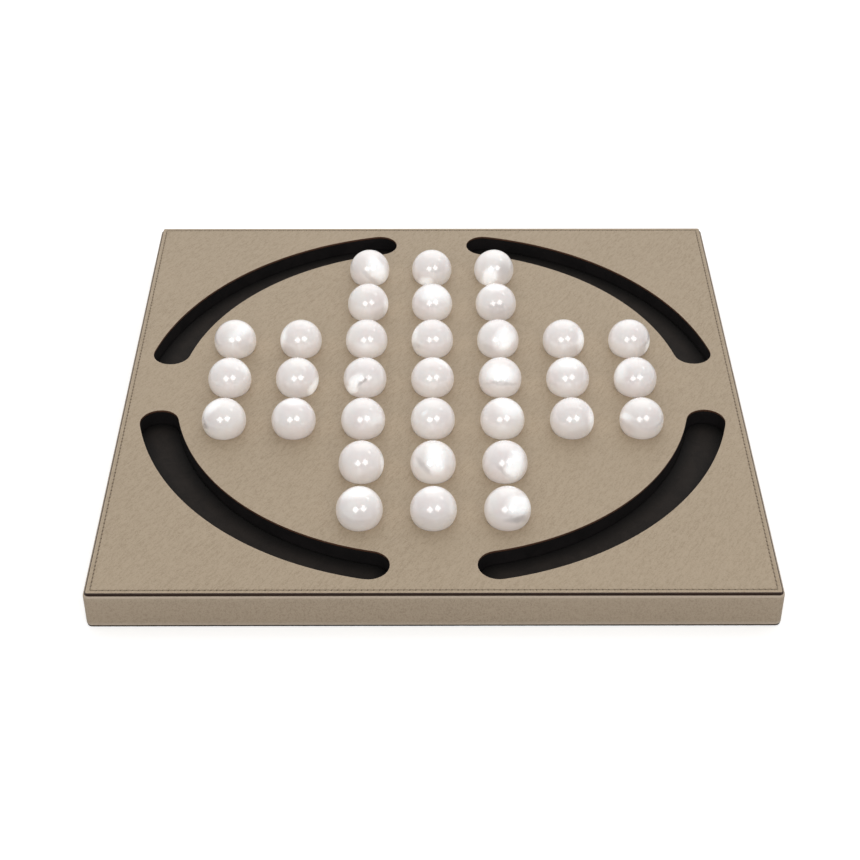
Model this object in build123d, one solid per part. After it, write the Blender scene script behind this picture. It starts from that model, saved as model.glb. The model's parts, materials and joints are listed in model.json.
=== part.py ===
from build123d import *
import os
from math import asin, degrees, sqrt

# Marble solitaire board: a square two-layer wooden core wrapped in leather, with 33 wells in a cross,
# four arc-shaped trays for captured marbles, and 33 loose marbles.
# Millimetres. Origin at the centre of the underside, +Z up, -Y towards the player.

# ---- Driving dimensions ----

# Board outline and layers, from the bottom up
BOARD_SIDE = 360.0                # square core, and the leather panel on top of it
CORE_CORNER_RADIUS = 2.0          # upright corners of the core
BOTTOM_SHEET_THICKNESS = 1.0
BASE_BOARD_THICKNESS = 10.0
TOP_BOARD_THICKNESS = 10.0
TOP_LEATHER_THICKNESS = 1.4
LEATHER_CORNER_RADIUS = 1.2       # corners of the top panel
LEATHER_EDGE_ROUNDING = 0.3       # top edges of the panel, its holes and its slots
BOTTOM_SHEET_INSET = 0.3          # bottom sheet stands in from the side band all round

# Side band: one strip of leather round the core, turned in over and under it
BAND_THICKNESS = 1.5
HEM_THICKNESS = 0.6               # pared thinner where it is turned in
TOP_HEM_WIDTH = 8.0
BOTTOM_HEM_WIDTH = 14.0
BAND_SHOULDER_RADIUS = 1.3        # outer rounding where the band turns in at the top
BAND_LOWER_RADIUS = 0.9
CORE_EDGE_ROUNDING = 0.8          # board edges under the turns of the band
BAND_BUTT_GAP = 0.3               # open joint of the strip's two ends, at the middle of the back

# Marbles and the wells they sit in
MARBLE_DIAMETER = 25.4
MARBLE_SINK = 7.0                 # how far a marble reaches below the leather in a well
SEAT_CLEARANCE = 0.1              # from the marble to the rounded rim of its hole
DISH_CLEARANCE = 0.4              # from the marble to the dish in the wood
ARM_REACH = 3                     # wells from the centre to the end of an arm of the cross
ARM_HALF_WIDTH = 1                # wells from the centre line to the side of an arm

# Arc trays for captured marbles, one in each quarter
MARBLE_SINK_IN_TRAY = 6.806       # how far a marble reaches below the leather across a tray
TRAY_EDGE_MARGIN = 6.75           # from the trays' outer arc to the middle of the board's side
TRAY_WELL_GAP = 12.91             # from the trays' inner arc to the rims of the outermost wells
TRAY_END_GAP = 46.0               # between the ends of two neighbouring trays
WALL_LINING_THICKNESS = 0.8
WALL_LINING_SETBACK = 0.2         # wall lining stands back under the leather's cut edge
FLOOR_LINING_THICKNESS = 1.2
FLOOR_LINING_CLEARANCE = 0.15     # floor lining to wall lining, all round

# Stitching round the edge of the top panel
STITCH_INSET = 2.4                # thread's centre line from the panel's edge
GROOVE_WIDTH = 0.8
GROOVE_DEPTH = 0.4
THREAD_WIDTH = 0.6
THREAD_HEIGHT = 0.35

# ---- Derived levels and sizes ----

MARBLE_RADIUS = MARBLE_DIAMETER / 2

Z_BASE_BOARD = BOTTOM_SHEET_THICKNESS
Z_TOP_BOARD = Z_BASE_BOARD + BASE_BOARD_THICKNESS
Z_LEATHER = Z_TOP_BOARD + TOP_BOARD_THICKNESS
Z_SURFACE = Z_LEATHER + TOP_LEATHER_THICKNESS


def opening_half_width(sink):
    """Half the width of an opening in which a marble reaches down by sink."""
    return sqrt(MARBLE_RADIUS**2 - (MARBLE_RADIUS - sink) ** 2)


WELL_RIM_RADIUS = opening_half_width(MARBLE_SINK)
TRAY_WIDTH = 2 * opening_half_width(MARBLE_SINK_IN_TRAY)

# The marble rests on the rounded rim: centre to centre with the rounding, plus the clearance.
SEAT_REACH = MARBLE_RADIUS + LEATHER_EDGE_ROUNDING + SEAT_CLEARANCE
RIM_ROUNDING_RADIUS = WELL_RIM_RADIUS + LEATHER_EDGE_ROUNDING
MARBLE_HEIGHT = sqrt(SEAT_REACH**2 - RIM_ROUNDING_RADIUS**2) - LEATHER_EDGE_ROUNDING
Z_MARBLE = Z_SURFACE + MARBLE_HEIGHT

TRAY_RADIUS = BOARD_SIDE / 2 - TRAY_EDGE_MARGIN - TRAY_WIDTH / 2
OUTERMOST_WELL_RADIUS = TRAY_RADIUS - TRAY_WIDTH / 2 - TRAY_WELL_GAP - WELL_RIM_RADIUS
WELL_PITCH = OUTERMOST_WELL_RADIUS / sqrt(ARM_REACH**2 + ARM_HALF_WIDTH**2)
TRAY_END_ANGLE = degrees(asin((TRAY_END_GAP + TRAY_WIDTH) / 2 / TRAY_RADIUS))

TRAY_WIDTH_IN_WOOD = TRAY_WIDTH + 2 * (WALL_LINING_SETBACK + WALL_LINING_THICKNESS)
TRAY_WIDTH_IN_LINING = TRAY_WIDTH + 2 * WALL_LINING_SETBACK
FLOOR_LINING_WIDTH = TRAY_WIDTH_IN_LINING - 2 * FLOOR_LINING_CLEARANCE

BAND_SIDE = BOARD_SIDE + 2 * BAND_THICKNESS
BAND_CORNER_RADIUS = CORE_CORNER_RADIUS + BAND_THICKNESS
TRAY_QUARTERS = {"back_right": 0, "back_left": 90, "front_left": 180, "front_right": 270}


# ---- Shapes shared by several pieces ----


def square_plate(side, corner_radius, low, high):
    """A square plate with rounded upright corners between two levels."""
    outline = RectangleRounded(side, side, corner_radius) if corner_radius else Rectangle(side, side)
    return extrude(Plane.XY.offset(low) * outline, amount=high - low)


def edges_at(shape, level):
    """The edges of a shape that lie flat at one level."""
    return [
        edge
        for edge in shape.edges()
        if abs(edge.bounding_box().min.Z - level) < 1e-4 and abs(edge.bounding_box().max.Z - level) < 1e-4
    ]


def well_places():
    """Each well's name, such as d4 for the centre, with its column and row counted from the centre."""
    reach = range(-ARM_REACH, ARM_REACH + 1)
    return {
        f"{'abcdefg'[column + ARM_REACH]}{row + ARM_REACH + 1}": (column, row)
        for column in reach
        for row in reach
        if min(abs(column), abs(row)) <= ARM_HALF_WIDTH
    }


def well_locations(level):
    """The wells' centres at one level."""
    places = well_places().values()
    return [Location((column * WELL_PITCH, row * WELL_PITCH, level)) for column, row in places]


def tray_outline(width, quarter_angle):
    """The outline of one arc tray: a bent slot with round ends, in the quarter that starts at an angle."""
    sweep = 90 - 2 * TRAY_END_ANGLE
    centre_line = CenterArc((0, 0), TRAY_RADIUS, quarter_angle + TRAY_END_ANGLE, sweep)
    return SlotArc(centre_line, width)


def tray_solid(width, low, high, quarter_angle):
    """A tray-shaped solid of a width between two levels."""
    return extrude(Plane.XY.offset(low) * tray_outline(width, quarter_angle), amount=high - low)


def square_ring(side, ring_width, corner_radius, low, high):
    """A square ring measured to its centre line."""
    outer = square_plate(side + ring_width, corner_radius + ring_width / 2, low, high)
    inner = square_plate(side - ring_width, corner_radius - ring_width / 2, low, high)
    return outer - inner


# ---- Pieces ----


def make_bottom_sheet():
    """Suede sheet that the board rests on."""
    side = BAND_SIDE - 2 * BOTTOM_SHEET_INSET
    corner_radius = BAND_CORNER_RADIUS - BOTTOM_SHEET_INSET
    return square_plate(side, corner_radius, 0, BOTTOM_SHEET_THICKNESS)


def make_base_board():
    """Lower core board, rebated round its underside for the band's lower hem."""
    board = square_plate(BOARD_SIDE, CORE_CORNER_RADIUS, Z_BASE_BOARD, Z_TOP_BOARD)
    inner_side = BOARD_SIDE - 2 * BOTTOM_HEM_WIDTH
    hem_level = Z_BASE_BOARD + HEM_THICKNESS
    board -= square_plate(BOARD_SIDE, 0, Z_BASE_BOARD, hem_level) - square_plate(
        inner_side, 0, Z_BASE_BOARD, hem_level
    )
    outer_edges = [edge for edge in edges_at(board, hem_level) if is_outside(edge, inner_side)]
    return fillet(outer_edges, CORE_EDGE_ROUNDING)


def make_top_board():
    """Upper core board: cut through by the trays, dished for the marbles, rebated for the upper hem."""
    board = square_plate(BOARD_SIDE, CORE_CORNER_RADIUS, Z_TOP_BOARD, Z_LEATHER)
    inner_side = BOARD_SIDE - 2 * TOP_HEM_WIDTH
    hem_level = Z_LEATHER - HEM_THICKNESS
    board -= square_plate(BOARD_SIDE, 0, hem_level, Z_LEATHER) - square_plate(
        inner_side, 0, hem_level, Z_LEATHER
    )
    outer_edges = [edge for edge in edges_at(board, hem_level) if is_outside(edge, inner_side)]
    board = fillet(outer_edges, CORE_EDGE_ROUNDING)
    for quarter_angle in TRAY_QUARTERS.values():
        board -= tray_solid(TRAY_WIDTH_IN_WOOD, Z_TOP_BOARD, Z_LEATHER, quarter_angle)
    for place in well_locations(Z_MARBLE):
        board -= place * Sphere(MARBLE_RADIUS + DISH_CLEARANCE)
    return board


def is_outside(edge, side):
    """Whether an edge lies outside a square of a side about the centre."""
    centre = edge.center()
    return max(abs(centre.X), abs(centre.Y)) > side / 2 + 0.01


def make_side_band(core):
    """Leather strip wrapped round the core, hemmed above and below, with a butt joint at the back.

    A wide upper hem is trimmed where the trays are cut.
    """
    band = square_plate(BAND_SIDE, BAND_CORNER_RADIUS, Z_BASE_BOARD, Z_LEATHER)
    band = fillet(edges_at(band, Z_LEATHER), BAND_SHOULDER_RADIUS)
    band = fillet(edges_at(band, Z_BASE_BOARD), BAND_LOWER_RADIUS)
    for board in core:
        band -= board
    upper_opening = BOARD_SIDE - 2 * TOP_HEM_WIDTH
    band -= square_plate(upper_opening, 0, Z_TOP_BOARD, Z_LEATHER)
    lower_opening = BOARD_SIDE - 2 * BOTTOM_HEM_WIDTH
    band -= square_plate(lower_opening, 0, Z_BASE_BOARD, Z_TOP_BOARD)
    joint_depth = 2 * max(TOP_HEM_WIDTH, BOTTOM_HEM_WIDTH) + 2 * BAND_THICKNESS
    joint = Box(BAND_BUTT_GAP, joint_depth, 2 * Z_SURFACE)
    band -= Pos(0, BOARD_SIDE / 2, 0) * joint
    for quarter_angle in TRAY_QUARTERS.values():
        band -= tray_solid(TRAY_WIDTH_IN_WOOD, Z_TOP_BOARD, Z_LEATHER, quarter_angle)
    return band


def make_top_leather():
    """Leather panel with round holes over the wells, slots over the trays and a sunk line for the thread."""
    panel = square_plate(BOARD_SIDE, LEATHER_CORNER_RADIUS, Z_LEATHER, Z_SURFACE)
    hole = Cylinder(WELL_RIM_RADIUS, 3 * TOP_LEATHER_THICKNESS)
    for place in well_locations(Z_SURFACE):
        panel -= place * hole
    for quarter_angle in TRAY_QUARTERS.values():
        panel -= tray_solid(TRAY_WIDTH, Z_LEATHER, Z_SURFACE, quarter_angle)
    panel = fillet(edges_at(panel, Z_SURFACE), LEATHER_EDGE_ROUNDING)
    return panel - stitch_ring(GROOVE_WIDTH, Z_SURFACE - GROOVE_DEPTH, Z_SURFACE)


def stitch_ring(ring_width, low, high):
    """A ring along the stitch line, near the panel's edge."""
    side = BOARD_SIDE - 2 * STITCH_INSET
    return square_ring(side, ring_width, LEATHER_CORNER_RADIUS, low, high)


def make_edge_stitching():
    """Thread that sews the panel to the band's upper hem, lying in the sunk line."""
    groove_floor = Z_SURFACE - GROOVE_DEPTH
    return stitch_ring(THREAD_WIDTH, groove_floor, groove_floor + THREAD_HEIGHT)


def make_wall_lining(quarter_angle):
    """Dark lining strip round the wall of one tray, from the base board up to the leather."""
    outer = tray_solid(TRAY_WIDTH_IN_WOOD, Z_TOP_BOARD, Z_LEATHER, quarter_angle)
    return outer - tray_solid(TRAY_WIDTH_IN_LINING, Z_TOP_BOARD, Z_LEATHER, quarter_angle)


def make_floor_lining(quarter_angle):
    """Charcoal lining on the floor of one tray."""
    floor_top = Z_TOP_BOARD + FLOOR_LINING_THICKNESS
    return tray_solid(FLOOR_LINING_WIDTH, Z_TOP_BOARD, floor_top, quarter_angle)


def make_marble(column, row):
    """One loose marble in its well."""
    return Pos(column * WELL_PITCH, row * WELL_PITCH, Z_MARBLE) * Sphere(MARBLE_RADIUS)


# ---- Assembly ----


def make_pieces():
    """Every piece of the board by name."""
    pieces = {
        "bottom_sheet": make_bottom_sheet(),
        "base_board": make_base_board(),
        "top_board": make_top_board(),
        "top_leather": make_top_leather(),
        "edge_stitching": make_edge_stitching(),
    }
    pieces["side_band"] = make_side_band([pieces["base_board"], pieces["top_board"]])
    for quarter, quarter_angle in TRAY_QUARTERS.items():
        pieces[f"wall_lining_{quarter}"] = make_wall_lining(quarter_angle)
        pieces[f"floor_lining_{quarter}"] = make_floor_lining(quarter_angle)
    for place, (column, row) in well_places().items():
        pieces[f"marble_{place}"] = make_marble(column, row)
    return pieces


os.makedirs("parts", exist_ok=True)
for node, shape in make_pieces().items():
    export_step(shape, f"parts/{node}.step")
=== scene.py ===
"""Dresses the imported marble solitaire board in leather, with lined trays and pearly marbles."""

import json
import logging
import math
import random
from dataclasses import dataclass, field
from enum import Enum

import bmesh
import bpy
from mathutils import Euler, Matrix, Vector, noise

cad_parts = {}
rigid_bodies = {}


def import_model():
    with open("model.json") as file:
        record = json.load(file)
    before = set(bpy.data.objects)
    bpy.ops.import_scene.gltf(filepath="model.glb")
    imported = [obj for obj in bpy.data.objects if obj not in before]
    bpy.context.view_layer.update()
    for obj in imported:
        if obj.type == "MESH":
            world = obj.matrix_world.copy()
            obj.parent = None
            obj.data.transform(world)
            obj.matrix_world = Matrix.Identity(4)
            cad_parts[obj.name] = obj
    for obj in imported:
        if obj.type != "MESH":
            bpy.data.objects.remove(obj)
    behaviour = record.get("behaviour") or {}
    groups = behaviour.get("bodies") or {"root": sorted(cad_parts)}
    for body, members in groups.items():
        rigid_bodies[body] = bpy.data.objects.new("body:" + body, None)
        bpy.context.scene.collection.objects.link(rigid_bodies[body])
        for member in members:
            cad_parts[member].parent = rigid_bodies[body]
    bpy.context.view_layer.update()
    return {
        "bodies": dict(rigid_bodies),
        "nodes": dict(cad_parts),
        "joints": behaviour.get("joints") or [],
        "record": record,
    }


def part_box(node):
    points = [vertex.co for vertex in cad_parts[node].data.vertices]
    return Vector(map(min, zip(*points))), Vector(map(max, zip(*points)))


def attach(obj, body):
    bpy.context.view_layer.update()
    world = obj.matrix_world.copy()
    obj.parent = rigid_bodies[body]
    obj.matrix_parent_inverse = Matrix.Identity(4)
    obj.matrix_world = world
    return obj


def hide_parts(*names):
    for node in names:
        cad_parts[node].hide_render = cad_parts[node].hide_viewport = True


LOG = logging.getLogger("solitaire_board")
MM = 0.001
BOARD_BODY = "board"
WHITE = (1.0, 1.0, 1.0, 1.0)
GRAIN_TURN = math.radians(-58)
QUARTERS = {"back_right": 0, "back_left": 90, "front_left": 180, "front_right": 270}

Colour = tuple[float, float, float, float]
Point = tuple[float, float, float]


def tint(red: float, green: float, blue: float) -> Colour:
    """Turns a screen colour into a linear one.

    Args:
        red: Red from 0 to 255.
        green: Green from 0 to 255.
        blue: Blue from 0 to 255.

    Returns:
        The linear colour with full alpha.
    """
    linear = [
        value / 12.92 if value <= 0.04045 else ((value + 0.055) / 1.055) ** 2.4
        for value in (red / 255, green / 255, blue / 255)
    ]
    return (linear[0], linear[1], linear[2], 1.0)


# ---- Shader graphs ----


class Socket(Enum):
    """Kinds of socket on a shader node group."""

    VALUE = "NodeSocketFloat"
    COLOUR = "NodeSocketColor"
    VECTOR = "NodeSocketVector"


class Graph:
    """Short calls for adding and joining the nodes of one tree."""

    def __init__(self, tree: bpy.types.NodeTree) -> None:
        """Starts a graph on a node tree.

        Args:
            tree: The tree that the nodes go into.
        """
        self.tree = tree

    def join(self, socket: bpy.types.NodeSocket, value: object) -> None:
        """Links a socket to another socket, or sets its value.

        Args:
            socket: The input socket.
            value: An output socket, a number, a vector or a colour.
        """
        if isinstance(value, bpy.types.NodeSocket):
            self.tree.links.new(value, socket)
        elif value is not None:
            socket.default_value = value

    def add(self, kind: str, **settings: object) -> bpy.types.Node:
        """Adds a node.

        Args:
            kind: The node's type name.
            settings: Properties to set on the node.

        Returns:
            The new node.
        """
        node = self.tree.nodes.new(kind)
        for name, value in settings.items():
            setattr(node, name, value)
        return node

    def maths(self, operation: str, *values: object) -> bpy.types.NodeSocket:
        """Adds a Math node.

        Args:
            operation: The node's operation.
            values: Its inputs in order.

        Returns:
            The result's socket.
        """
        node = self.add("ShaderNodeMath", operation=operation)
        for socket, value in zip(node.inputs, values):
            self.join(socket, value)
        return node.outputs[0]

    def vector(self, operation: str, first: object, second: object) -> bpy.types.NodeSocket:
        """Adds a Vector Math node.

        Args:
            operation: The node's operation.
            first: The vector to work on.
            second: The other vector, or the number to scale by.

        Returns:
            The vector's socket.
        """
        node = self.add("ShaderNodeVectorMath", operation=operation)
        self.join(node.inputs[0], first)
        if operation == "SCALE":
            self.join(node.inputs["Scale"], second)
        else:
            self.join(node.inputs[1], second)
        return node.outputs[0]

    def mix(self, share: object, first: object, second: object) -> bpy.types.NodeSocket:
        """Mixes two colours.

        Args:
            share: How much of the second colour.
            first: The first colour.
            second: The second colour.

        Returns:
            The mixed colour's socket.
        """
        node = self.add("ShaderNodeMix", data_type="RGBA")
        self.join(node.inputs["Factor"], share)
        self.join(node.inputs[6], first)
        self.join(node.inputs[7], second)
        return node.outputs[2]

    def spread(
        self, value: object, low: object, high: object, to_low: float = 0.0, to_high: float = 1.0
    ) -> bpy.types.NodeSocket:
        """Maps a value smoothly from one range to another, clamped.

        Args:
            value: The value to map.
            low: Where its range starts.
            high: Where its range ends.
            to_low: The result at the start.
            to_high: The result at the end.

        Returns:
            The result's socket.
        """
        node = self.add("ShaderNodeMapRange", interpolation_type="SMOOTHSTEP")
        self.join(node.inputs["Value"], value)
        self.join(node.inputs["From Min"], low)
        self.join(node.inputs["From Max"], high)
        self.join(node.inputs["To Min"], to_low)
        self.join(node.inputs["To Max"], to_high)
        return node.outputs["Result"]

    def noise(
        self, place: object, scale: object, detail: float = 2.0, roughness: float = 0.5, warp: float = 0.0
    ) -> bpy.types.NodeSocket:
        """Adds a noise texture.

        Args:
            place: The coordinates.
            scale: How many features per unit.
            detail: How many finer layers.
            roughness: How strong the finer layers are.
            warp: How far the noise is distorted.

        Returns:
            The noise's value.
        """
        node = self.add("ShaderNodeTexNoise")
        self.join(node.inputs["Vector"], place)
        self.join(node.inputs["Scale"], scale)
        node.inputs["Detail"].default_value = detail
        node.inputs["Roughness"].default_value = roughness
        node.inputs["Distortion"].default_value = warp
        return node.outputs["Fac"]

    def split(self, place: object) -> tuple[bpy.types.NodeSocket, bpy.types.NodeSocket, bpy.types.NodeSocket]:
        """Splits a vector.

        Args:
            place: The vector.

        Returns:
            Its X, Y and Z.
        """
        node = self.add("ShaderNodeSeparateXYZ")
        self.join(node.inputs[0], place)
        return node.outputs[0], node.outputs[1], node.outputs[2]

    def combine(self, x: object, y: object, z: object) -> bpy.types.NodeSocket:
        """Joins three values into a vector.

        Args:
            x: The X value.
            y: The Y value.
            z: The Z value.

        Returns:
            The vector's socket.
        """
        node = self.add("ShaderNodeCombineXYZ")
        for socket, value in zip(node.inputs, (x, y, z)):
            self.join(socket, value)
        return node.outputs[0]

    def turned(self, place: object, angle: float, stretch: Point) -> bpy.types.NodeSocket:
        """Turns coordinates about Z and stretches them.

        Args:
            place: The coordinates.
            angle: The turn in radians.
            stretch: The scale along each axis after the turn.

        Returns:
            The new coordinates.
        """
        turn = self.add("ShaderNodeVectorRotate", rotation_type="Z_AXIS")
        self.join(turn.inputs["Vector"], place)
        turn.inputs["Angle"].default_value = angle
        return self.vector("MULTIPLY", turn.outputs[0], stretch)

    def group(self, tree: bpy.types.NodeTree, **values: object) -> bpy.types.Node:
        """Places a node group with its own values.

        Args:
            tree: The group's tree.
            values: Input values by socket name, with _ for a space.

        Returns:
            The group node.
        """
        node = self.add("ShaderNodeGroup", node_tree=tree)
        for name, value in values.items():
            self.join(node.inputs[name.replace("_", " ")], value)
        return node


def new_group(
    name: str, inputs: dict[str, tuple[Socket, object]], outputs: dict[str, Socket]
) -> tuple[Graph, bpy.types.Node, bpy.types.Node]:
    """Starts a shader node group.

    Args:
        name: The group's name.
        inputs: Each input's kind and starting value by name.
        outputs: Each output's kind by name.

    Returns:
        The group's graph, its input node and its output node.
    """
    tree = bpy.data.node_groups.new(name, "ShaderNodeTree")
    for socket_name, (kind, value) in inputs.items():
        socket = tree.interface.new_socket(name=socket_name, in_out="INPUT", socket_type=kind.value)
        if value is not None:
            socket.default_value = value
    for socket_name, kind in outputs.items():
        tree.interface.new_socket(name=socket_name, in_out="OUTPUT", socket_type=kind.value)
    graph = Graph(tree)
    return graph, graph.add("NodeGroupInput"), graph.add("NodeGroupOutput")


def leather_grain_group() -> bpy.types.NodeTree:
    """Builds the pebbled grain of pressed calf leather.

    Returns:
        A group that gives the grain's height, its valleys and a slow mottling.
    """
    graph, given, result = new_group(
        "leather_grain",
        {
            "Place": (Socket.VECTOR, None),
            "Cells per metre": (Socket.VALUE, 900.0),
            "Slant": (Socket.VALUE, 1.0),
        },
        {"Height": Socket.VALUE, "Valleys": Socket.VALUE, "Mottle": Socket.VALUE},
    )
    place, cells = given.outputs["Place"], given.outputs["Cells per metre"]
    wander = graph.add("ShaderNodeTexNoise")
    graph.join(wander.inputs["Vector"], place)
    graph.join(wander.inputs["Scale"], graph.maths("MULTIPLY", cells, 0.6))
    wander.inputs["Detail"].default_value = 1.0
    shift = graph.vector("SCALE", graph.vector("SUBTRACT", wander.outputs["Color"], (0.5, 0.5, 0.5)), 0.0007)
    bent = graph.turned(graph.vector("ADD", place, shift), GRAIN_TURN, (1.0, 1.7, 1.0))
    pebbles = graph.add("ShaderNodeTexVoronoi", feature="DISTANCE_TO_EDGE")
    graph.join(pebbles.inputs["Vector"], bent)
    graph.join(pebbles.inputs["Scale"], cells)
    domes = graph.spread(pebbles.outputs["Distance"], 0.0, 0.42)
    fine = graph.noise(bent, graph.maths("MULTIPLY", cells, 2.2), 2.0, 0.6)
    raked = graph.turned(place, GRAIN_TURN, (0.35, 1.5, 1.0))
    rows = graph.noise(raked, graph.maths("MULTIPLY", cells, 0.9), 1.0)
    slanted = graph.maths("MULTIPLY", graph.maths("MULTIPLY", rows, 0.75), given.outputs["Slant"])
    domed = graph.maths("ADD", graph.maths("MULTIPLY", domes, 0.42), graph.maths("MULTIPLY", fine, 0.15))
    height = graph.maths("ADD", domed, slanted)
    slow = graph.noise(place, graph.maths("MULTIPLY", cells, 0.018), 1.0, 0.4)
    graph.join(result.inputs["Height"], height)
    graph.join(result.inputs["Valleys"], graph.spread(height, 0.62, 0.3))
    graph.join(result.inputs["Mottle"], slow)
    return graph.tree


def nap_group() -> bpy.types.NodeTree:
    """Builds the short nap of suede and matt lining leather.

    Returns:
        A group that gives the nap's height and its brushed patches.
    """
    graph, given, result = new_group(
        "nap",
        {"Place": (Socket.VECTOR, None), "Fibres per metre": (Socket.VALUE, 3000.0)},
        {"Height": Socket.VALUE, "Brushed": Socket.VALUE},
    )
    place, fibres = given.outputs["Place"], given.outputs["Fibres per metre"]
    hairs = graph.noise(graph.vector("MULTIPLY", place, (1.0, 1.0, 0.4)), fibres, 3.0, 0.7, 0.4)
    patches = graph.noise(place, graph.maths("MULTIPLY", fibres, 0.03), 3.0, 0.6, 0.8)
    graph.join(result.inputs["Height"], hairs)
    graph.join(result.inputs["Brushed"], graph.spread(patches, 0.35, 0.65))
    return graph.tree


def oval_group() -> bpy.types.NodeTree:
    """Builds a soft, tilted oval with a wandering rim, as seen from the front of a marble.

    Returns:
        A group that gives the oval's mask.
    """
    graph, given, result = new_group(
        "pearl_oval",
        {
            "Place": (Socket.VECTOR, None),
            "Middle": (Socket.VECTOR, None),
            "Half length": (Socket.VALUE, 0.4),
            "Half width": (Socket.VALUE, 0.3),
            "Tilt": (Socket.VALUE, 0.0),
            "Softness": (Socket.VALUE, 0.5),
        },
        {"Mask": Socket.VALUE},
    )
    apart = graph.vector("SUBTRACT", given.outputs["Place"], given.outputs["Middle"])
    turn = graph.add("ShaderNodeVectorRotate", rotation_type="Z_AXIS", invert=True)
    graph.join(turn.inputs["Vector"], apart)
    graph.join(turn.inputs["Angle"], given.outputs["Tilt"])
    along, across, _ = graph.split(turn.outputs[0])
    along = graph.maths("DIVIDE", along, given.outputs["Half length"])
    across = graph.maths("DIVIDE", across, given.outputs["Half width"])
    squares = graph.maths("ADD", graph.maths("POWER", along, 2.0), graph.maths("POWER", across, 2.0))
    reach = graph.maths("SQRT", squares)
    inner = graph.maths("SUBTRACT", 1.0, given.outputs["Softness"])
    outer = graph.maths("ADD", 1.0, given.outputs["Softness"])
    graph.join(result.inputs["Mask"], graph.spread(reach, outer, inner))
    return graph.tree


def silk_group() -> bpy.types.NodeTree:
    """Builds the silky bands inside a pearly stone.

    Returns:
        A group that gives broad clouds, fine fibres and coordinates that wander with the clouds.
    """
    graph, given, result = new_group(
        "pearl_silk",
        {"Place": (Socket.VECTOR, None), "Seed": (Socket.VALUE, 0.0), "Fibre tilt": (Socket.VALUE, 0.0)},
        {"Clouds": Socket.VALUE, "Fibres": Socket.VALUE, "Wandering": Socket.VECTOR},
    )
    moved = graph.vector("ADD", given.outputs["Place"], graph.combine(given.outputs["Seed"], 0.0, 0.0))
    clouds = graph.noise(moved, 0.8, 1.0, 0.4, 0.4)
    turn = graph.add("ShaderNodeVectorRotate", rotation_type="Z_AXIS", invert=True)
    graph.join(turn.inputs["Vector"], given.outputs["Place"])
    graph.join(turn.inputs["Angle"], given.outputs["Fibre tilt"])
    combed = graph.vector("MULTIPLY", turn.outputs[0], (0.5, 2.4, 0.8))
    combed = graph.vector("ADD", combed, graph.combine(given.outputs["Seed"], 0.0, 0.0))
    fibres = graph.noise(combed, 1.2, 1.5, 0.45, 0.4)
    swirl = graph.add("ShaderNodeTexNoise")
    graph.join(swirl.inputs["Vector"], moved)
    swirl.inputs["Scale"].default_value = 2.1
    swirl.inputs["Detail"].default_value = 2.0
    drift = graph.vector("SCALE", graph.vector("SUBTRACT", swirl.outputs["Color"], (0.5, 0.5, 0.5)), 0.24)
    graph.join(result.inputs["Clouds"], clouds)
    graph.join(result.inputs["Fibres"], fibres)
    graph.join(result.inputs["Wandering"], graph.vector("ADD", given.outputs["Place"], drift))
    return graph.tree


class Groups:
    """The shared shader node groups, each built once."""

    def __init__(self) -> None:
        """Builds every group."""
        self.grain = leather_grain_group()
        self.nap = nap_group()
        self.oval = oval_group()
        self.silk = silk_group()


# ---- Finishes ----


def new_material(name: str) -> tuple[bpy.types.Material, Graph, bpy.types.Node]:
    """Starts a material.

    Args:
        name: The material's name.

    Returns:
        The material, its graph and its Principled shader.
    """
    material = bpy.data.materials.new(name)
    material.use_nodes = True
    graph = Graph(material.node_tree)
    shader = next(node for node in material.node_tree.nodes if node.type == "BSDF_PRINCIPLED")
    return material, graph, shader


def add_bump(
    graph: Graph, shader: bpy.types.Node, height: object, depth: float, strength: float = 1.0
) -> None:
    """Raises a surface's height through a Bump node.

    Args:
        graph: The material's graph.
        shader: The shader whose normal is bent.
        height: The height from 0 to 1.
        depth: The depth of a height of 1, in metres.
        strength: How much of the bend is used.
    """
    bump = graph.add("ShaderNodeBump")
    bump.inputs["Strength"].default_value = strength
    bump.inputs["Distance"].default_value = depth
    graph.join(bump.inputs["Height"], height)
    graph.join(shader.inputs["Normal"], bump.outputs["Normal"])


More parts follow.
